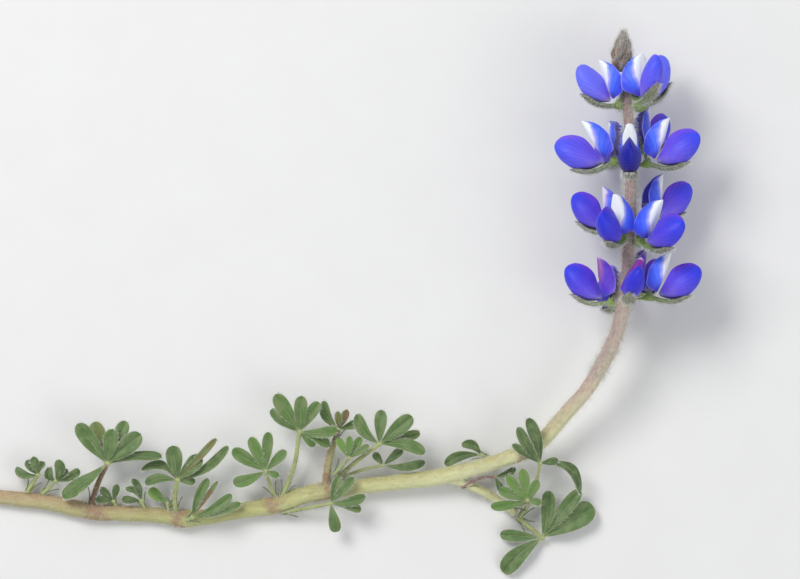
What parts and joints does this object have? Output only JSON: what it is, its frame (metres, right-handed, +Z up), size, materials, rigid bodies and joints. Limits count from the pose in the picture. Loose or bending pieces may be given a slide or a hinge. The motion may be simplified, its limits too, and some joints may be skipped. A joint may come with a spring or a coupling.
{
  "type": "lupin flower spike",
  "caption": "Flowering sprig of a small lupin lying on its side: a creeping leafy stem that turns up into a stalk with whorls of pea flowers and a bud tip.",
  "frame": {"origin": "middle of the sprig's bounding box, on the surface it lies on", "axes": "+X along the creeping leafy stem from its cut end, +Y along the flower spike towards the buds, +Z up from the surface"},
  "size_m": [0.1798, 0.1364, 0.0347],
  "materials": {
    "stem": "matte",
    "leaf": "matte",
    "banner_petal": "satin",
    "wing_petal": "satin",
    "bud": "matte"
  },
  "bodies": {
    "root": {"stem": "stem", "bud_cluster": "bud", "flower_1a_banner": "banner_petal", "flower_1a_wings": "wing_petal", "flower_1b_banner": "banner_petal", "flower_1b_wings": "wing_petal", "flower_1c_banner": "banner_petal", "flower_1c_wings": "wing_petal", "flower_1d_banner": "banner_petal", "flower_1d_wings": "wing_petal", "flower_1e_banner": "banner_petal", "flower_1e_wings": "wing_petal", "flower_2a_banner": "banner_petal", "flower_2a_wings": "wing_petal", "flower_2b_banner": "banner_petal", "flower_2b_wings": "wing_petal", "flower_2c_banner": "banner_petal", "flower_2c_wings": "wing_petal", "flower_2d_banner": "banner_petal", "flower_2d_wings": "wing_petal", "flower_2e_banner": "banner_petal", "flower_2e_wings": "wing_petal", "flower_3a_banner": "banner_petal", "flower_3a_wings": "wing_petal", "flower_3b_banner": "banner_petal", "flower_3b_wings": "wing_petal", "flower_3c_banner": "banner_petal", "flower_3c_wings": "wing_petal", "flower_3d_banner": "banner_petal", "flower_3d_wings": "wing_petal", "flower_3e_banner": "banner_petal", "flower_3e_wings": "wing_petal", "flower_4a_banner": "banner_petal", "flower_4a_wings": "wing_petal", "flower_4b_banner": "banner_petal", "flower_4b_wings": "wing_petal", "flower_4c_banner": "banner_petal", "flower_4c_wings": "wing_petal", "leaf_end_left": "leaf", "leaf_end_right": "leaf", "leaf_tall_left": "leaf", "leaf_low_left": "leaf", "leaf_low_middle": "leaf", "leaf_node_tall": "leaf", "leaf_node_low": "leaf", "leaf_node_front": "leaf", "leaf_star_left": "leaf", "leaf_tall_middle": "leaf", "leaf_shoot_top": "leaf", "leaf_fan_right": "leaf", "leaf_fan_bright": "leaf", "leaf_fan_under": "leaf", "leaf_below_middle": "leaf", "leaf_bright_right": "leaf", "leaf_lowest_right": "leaf", "leaf_bend_right": "leaf", "leaf_above_right": "leaf", "leaf_strand_right": "leaf"}
  },
  "joints": []
}
